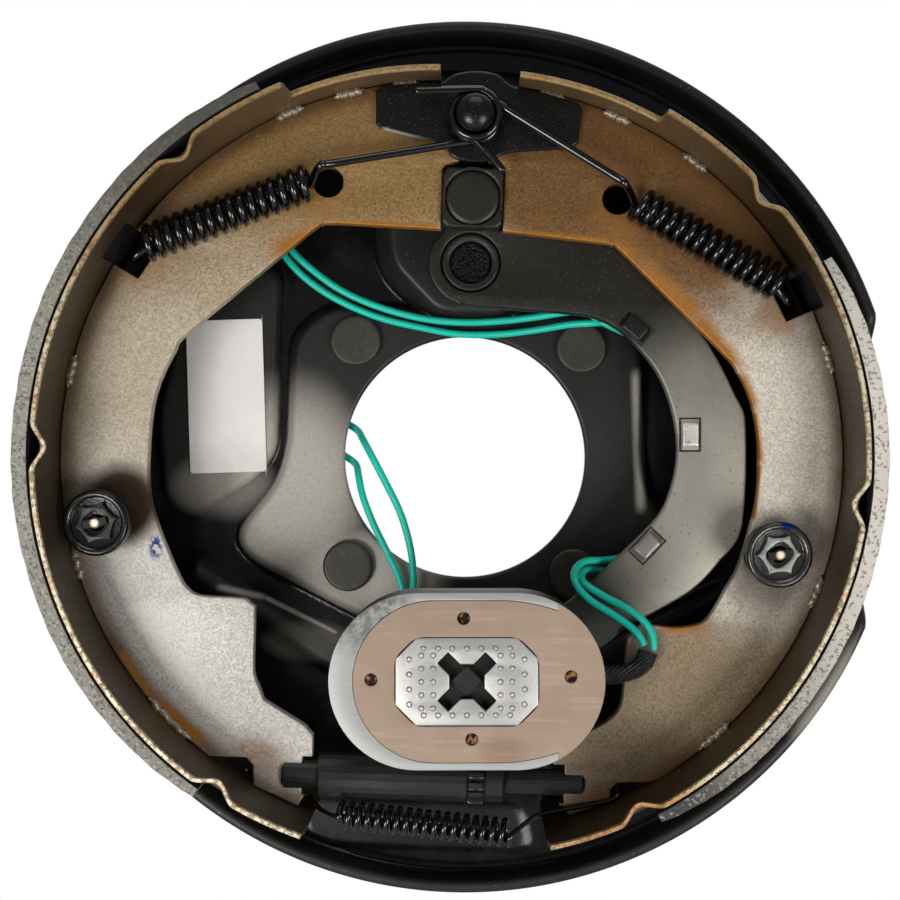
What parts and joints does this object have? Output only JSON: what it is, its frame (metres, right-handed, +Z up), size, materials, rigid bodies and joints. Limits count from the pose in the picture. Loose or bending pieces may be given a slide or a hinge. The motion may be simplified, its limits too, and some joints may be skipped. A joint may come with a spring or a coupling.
{
  "type": "electric trailer brake assembly",
  "caption": "Round electric drum brake assembly: black stamped backing plate with two lined shoes, return springs, curved lever arm, oval magnet, star wheel adjuster and two green leads.",
  "frame": {"origin": "centre of the hub's pilot hole and of the four studs, on the back of the hub where it meets the axle flange", "axes": "+Y along the axle towards the vehicle, +Z up through the anchor post, +X to the right seen from the shoes"},
  "size_m": [0.2698, 0.0832, 0.279],
  "materials": {
    "black_paint": "satin",
    "lining_compound": "rough, ground",
    "bronze_lacquer": "satin, light rust at the edges",
    "bare_steel": "brushed",
    "friction_resin": "matt",
    "copper": "drawn",
    "black_rubber": "matt",
    "white_label": "matt",
    "green_insulation": "satin",
    "spring_steel": "black oiled",
    "dark_steel": "black oxide"
  },
  "bodies": {
    "backing": {"backing_plate": "black_paint", "anchor_post": "dark_steel", "shoe_guide_plate": "black_paint", "lever_pivot_pin": "dark_steel", "mounting_stud_1": "bare_steel", "mounting_stud_2": "bare_steel", "mounting_stud_3": "bare_steel", "mounting_stud_4": "bare_steel", "secondary_hold_down_pin": "bare_steel", "primary_hold_down_pin": "bare_steel", "secondary_hold_down_spring": "spring_steel", "primary_hold_down_spring": "spring_steel", "label": "white_label", "dust_plug_left": "black_rubber", "dust_plug_right": "black_rubber", "lead_grommet": "black_rubber", "lead_1_on_plate": "green_insulation", "lead_2_on_plate": "green_insulation", "adjuster_spring": "spring_steel"},
    "lever": {"lever_arm": "dark_steel", "lever_bush": "dark_steel", "cam_rivet": "dark_steel", "magnet_post": "dark_steel", "magnet_spring": "spring_steel", "lead_1_on_arm": "green_insulation", "lead_2_on_arm": "green_insulation", "lead_sleeve": "black_rubber"},
    "cam": {"cam_block": "dark_steel"},
    "magnet": {"magnet_cup": "bare_steel", "magnet_coil": "copper", "magnet_core": "bare_steel", "magnet_friction_face": "friction_resin", "magnet_screw_1": "copper", "magnet_screw_2": "copper", "magnet_screw_3": "copper", "magnet_screw_4": "copper"},
    "secondary_shoe": {"secondary_shoe_table": "bronze_lacquer", "secondary_shoe_web": "bronze_lacquer", "secondary_lining": "lining_compound", "secondary_retractor_spring": "spring_steel"},
    "primary_link": {"primary_retractor_spring": "spring_steel"},
    "primary_shoe": {"primary_shoe_table": "bronze_lacquer", "primary_shoe_web": "bronze_lacquer", "primary_lining": "lining_compound"},
    "nut": {"adjuster_nut": "dark_steel"},
    "socket": {"adjuster_socket": "dark_steel"},
    "screw": {"adjuster_screw": "dark_steel"},
    "secondary_cup": {"secondary_hold_down_cup": "dark_steel"},
    "primary_cup": {"primary_hold_down_cup": "dark_steel"}
  },
  "joints": [
    {"name": "lever_swing", "type": "hinge", "parent": "backing", "child": "lever", "pos_m": [0, 0, 0.0602], "axis": [0, 1, 0], "range_deg": [0, 8]},
    {"name": "cam_block_swivel", "type": "hinge", "parent": "lever", "child": "cam", "pos_m": [0, 0, 0.079], "axis": [0, 1, 0], "range_deg": [-9, 9]},
    {"name": "magnet_press", "type": "slide", "parent": "lever", "child": "magnet", "axis": [0, 1, 0], "range_m": [0, 0.003], "stiffness_N_per_m": 3000, "springref_m": -0.002, "deforming": ["magnet_spring"]},
    {"name": "primary_link_spread", "type": "hinge", "parent": "backing", "child": "primary_link", "pos_m": [0, 0, 0.1025], "axis": [0, 1, 0], "range_deg": [-1, 1]},
    {"name": "primary_shoe_swing", "type": "hinge", "parent": "primary_link", "child": "primary_shoe", "pos_m": [0.0336, 0, -0.099], "axis": [0, 1, 0], "range_deg": [-0.2, 1], "deforming": ["primary_retractor_spring"]},
    {"name": "secondary_shoe_spread", "type": "hinge", "parent": "backing", "child": "secondary_shoe", "pos_m": [0, 0, 0.1025], "axis": [0, 1, 0], "range_deg": [-1, 1]},
    {"name": "nut_travel", "type": "slide", "parent": "backing", "child": "nut", "axis": [-1, 0, 0], "range_m": [0, 0.003]},
    {"name": "socket_travel", "type": "slide", "parent": "backing", "child": "socket", "axis": [1, 0, 0], "range_m": [0, 0.003], "deforming": ["adjuster_spring"]},
    {"name": "star_wheel_turn", "type": "hinge", "parent": "socket", "child": "screw", "pos_m": [0.004, -0.02857, -0.099], "axis": [1, 0, 0], "range_deg": [0, 1440]},
    {"name": "secondary_cup_press", "type": "slide", "parent": "backing", "child": "secondary_cup", "axis": [0, 1, 0], "range_m": [0, 0.003], "stiffness_N_per_m": 4000, "springref_m": -0.003, "deforming": ["secondary_hold_down_spring"]},
    {"name": "primary_cup_press", "type": "slide", "parent": "backing", "child": "primary_cup", "axis": [0, 1, 0], "range_m": [0, 0.003], "stiffness_N_per_m": 4000, "springref_m": -0.003, "deforming": ["primary_hold_down_spring"]}
  ],
  "couplings": [
    {"joint": "cam_block_swivel", "follows": "lever_swing", "ratio": -0.8944},
    {"joint": "primary_shoe_swing", "follows": "lever_swing", "ratio": 0.1056},
    {"joint": "primary_link_spread", "follows": "socket_travel", "rad_per_m": -4.9628},
    {"joint": "secondary_shoe_spread", "follows": "socket_travel", "rad_per_m": 4.9628},
    {"joint": "nut_travel", "follows": "socket_travel", "ratio": 1},
    {"joint": "star_wheel_turn", "follows": "socket_travel", "rad_per_m": 8377.5}
  ]
}
